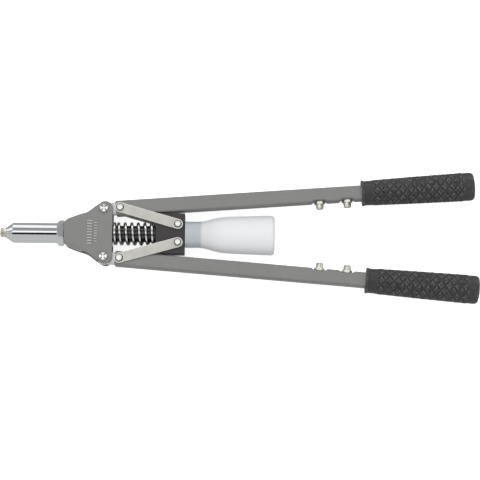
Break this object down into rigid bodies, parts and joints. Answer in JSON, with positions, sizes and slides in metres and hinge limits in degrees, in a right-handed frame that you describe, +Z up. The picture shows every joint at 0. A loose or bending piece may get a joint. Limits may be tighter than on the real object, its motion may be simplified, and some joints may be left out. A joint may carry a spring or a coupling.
{
  "type": "hand riveter",
  "caption": "Long-lever hand riveter: two tube levers and links pull a jaw case through a spring-returned rod, and spent mandrels fall into a bottle.",
  "frame": {"origin": "middle of the object's box in X and Y, at the bottle's lowest point", "axes": "+X along the pull axis towards the grips, +Y towards the upper lever, +Z up from the surface the tool lies on"},
  "size_m": [0.5218, 0.1445, 0.0435],
  "materials": {
    "grey_paint": "satin",
    "chrome": "polished",
    "nosepiece_steel": "satin",
    "bare_steel": "machined",
    "zinc": "zinc plated",
    "bronze": "satin",
    "brushed_nickel": "brushed",
    "black_steel": "gloss black",
    "dark_block": "satin dark",
    "tool_steel": "hardened",
    "grip_rubber": "matte moulded",
    "white_plastic": "matte",
    "bottle_plastic": "translucent"
  },
  "bodies": {
    "frame": {"nosepiece": "nosepiece_steel", "frame_head": "chrome", "head_socket": "bare_steel", "frame_plate_front": "grey_paint", "frame_plate_rear": "grey_paint", "upper_pivot_screw": "zinc", "upper_pivot_nut": "zinc", "upper_pivot_bush": "bronze", "lower_pivot_screw": "zinc", "lower_pivot_nut": "zinc", "lower_pivot_bush": "bronze", "return_spring": "black_steel"},
    "upper_lever": {"upper_lever_tube": "grey_paint", "upper_lever_head": "bare_steel", "upper_grip": "grip_rubber", "upper_lever_pin": "zinc", "upper_lever_pin_clip": "black_steel", "upper_spare_nosepiece_1": "nosepiece_steel", "upper_spare_nosepiece_2": "nosepiece_steel"},
    "lower_lever": {"lower_lever_tube": "grey_paint", "lower_lever_head": "bare_steel", "lower_grip": "grip_rubber", "lower_lever_pin": "zinc", "lower_lever_pin_clip": "black_steel", "lower_spare_nosepiece_1": "nosepiece_steel", "lower_spare_nosepiece_2": "nosepiece_steel"},
    "upper_links": {"upper_link_front": "brushed_nickel", "upper_link_rear": "brushed_nickel", "upper_block_pin": "zinc", "upper_block_pin_clip": "black_steel"},
    "lower_links": {"lower_link_front": "brushed_nickel", "lower_link_rear": "brushed_nickel", "lower_block_pin": "zinc", "lower_block_pin_clip": "black_steel"},
    "pull_block": {"joint_block": "dark_block", "guide_sleeve": "black_steel", "pull_rod": "tool_steel", "bottle_adapter": "white_plastic", "jaw_case_head": "tool_steel", "jaw_case_body": "tool_steel", "jaw_case_lock_nut": "tool_steel"},
    "bottle": {"bottle": "bottle_plastic"},
    "jaw_pusher": {"jaw_pusher": "tool_steel", "jaw_pusher_spring": "black_steel"},
    "jaw_1": {"jaw_1": "tool_steel"},
    "jaw_2": {"jaw_2": "tool_steel"},
    "jaw_3": {"jaw_3": "tool_steel"}
  },
  "joints": [
    {"name": "upper_lever_hinge", "type": "hinge", "parent": "frame", "child": "upper_lever", "pos_m": [-0.1479, 0.0265, 0.02175], "axis": [0, 0, 1], "range_deg": [0, 65], "stiffness_Nm_per_rad": 2},
    {"name": "lower_lever_hinge", "type": "hinge", "parent": "frame", "child": "lower_lever", "pos_m": [-0.1479, -0.0265, 0.02175], "axis": [0, 0, 1], "range_deg": [-65, 0]},
    {"name": "upper_link_hinge", "type": "hinge", "parent": "upper_lever", "child": "upper_links", "pos_m": [-0.13065, 0.02781, 0.02175], "axis": [0, 0, 1], "range_deg": [-79.2, 0]},
    {"name": "lower_link_hinge", "type": "hinge", "parent": "lower_lever", "child": "lower_links", "pos_m": [-0.13065, -0.02781, 0.02175], "axis": [0, 0, 1], "range_deg": [0, 79.2]},
    {"name": "pull_block_slide", "type": "slide", "parent": "frame", "child": "pull_block", "axis": [1, 0, 0], "range_m": [-0.0175, 0], "deforming": ["return_spring"]},
    {"name": "bottle_pull", "type": "slide", "parent": "pull_block", "child": "bottle", "axis": [1, 0, 0], "range_m": [0, 0.03]},
    {"name": "jaw_pusher_slide", "type": "slide", "parent": "pull_block", "child": "jaw_pusher", "axis": [1, 0, 0], "range_m": [0, 0.0035], "stiffness_N_per_m": 300, "springref_m": -0.002, "deforming": ["jaw_pusher_spring"]},
    {"name": "jaw_1_slide", "type": "slide", "parent": "pull_block", "child": "jaw_1", "axis": [0.9903, 0.1392, 0], "range_m": [0, 0.00354]},
    {"name": "jaw_2_slide", "type": "slide", "parent": "pull_block", "child": "jaw_2", "axis": [0.9903, -0.0696, 0.1205], "range_m": [0, 0.00354]},
    {"name": "jaw_3_slide", "type": "slide", "parent": "pull_block", "child": "jaw_3", "axis": [0.9903, -0.0696, -0.1205], "range_m": [0, 0.00354]}
  ],
  "couplings": [
    {"joint": "lower_lever_hinge", "follows": "upper_lever_hinge", "ratio": -1},
    {"joint": "upper_link_hinge", "follows": "upper_lever_hinge", "ratio": -1.2172},
    {"joint": "lower_link_hinge", "follows": "upper_lever_hinge", "ratio": 1.2172},
    {"joint": "pull_block_slide", "follows": "upper_lever_hinge", "m_per_rad": -0.015336},
    {"joint": "jaw_1_slide", "follows": "jaw_pusher_slide", "ratio": 1.0098},
    {"joint": "jaw_2_slide", "follows": "jaw_pusher_slide", "ratio": 1.0098},
    {"joint": "jaw_3_slide", "follows": "jaw_pusher_slide", "ratio": 1.0098}
  ]
}
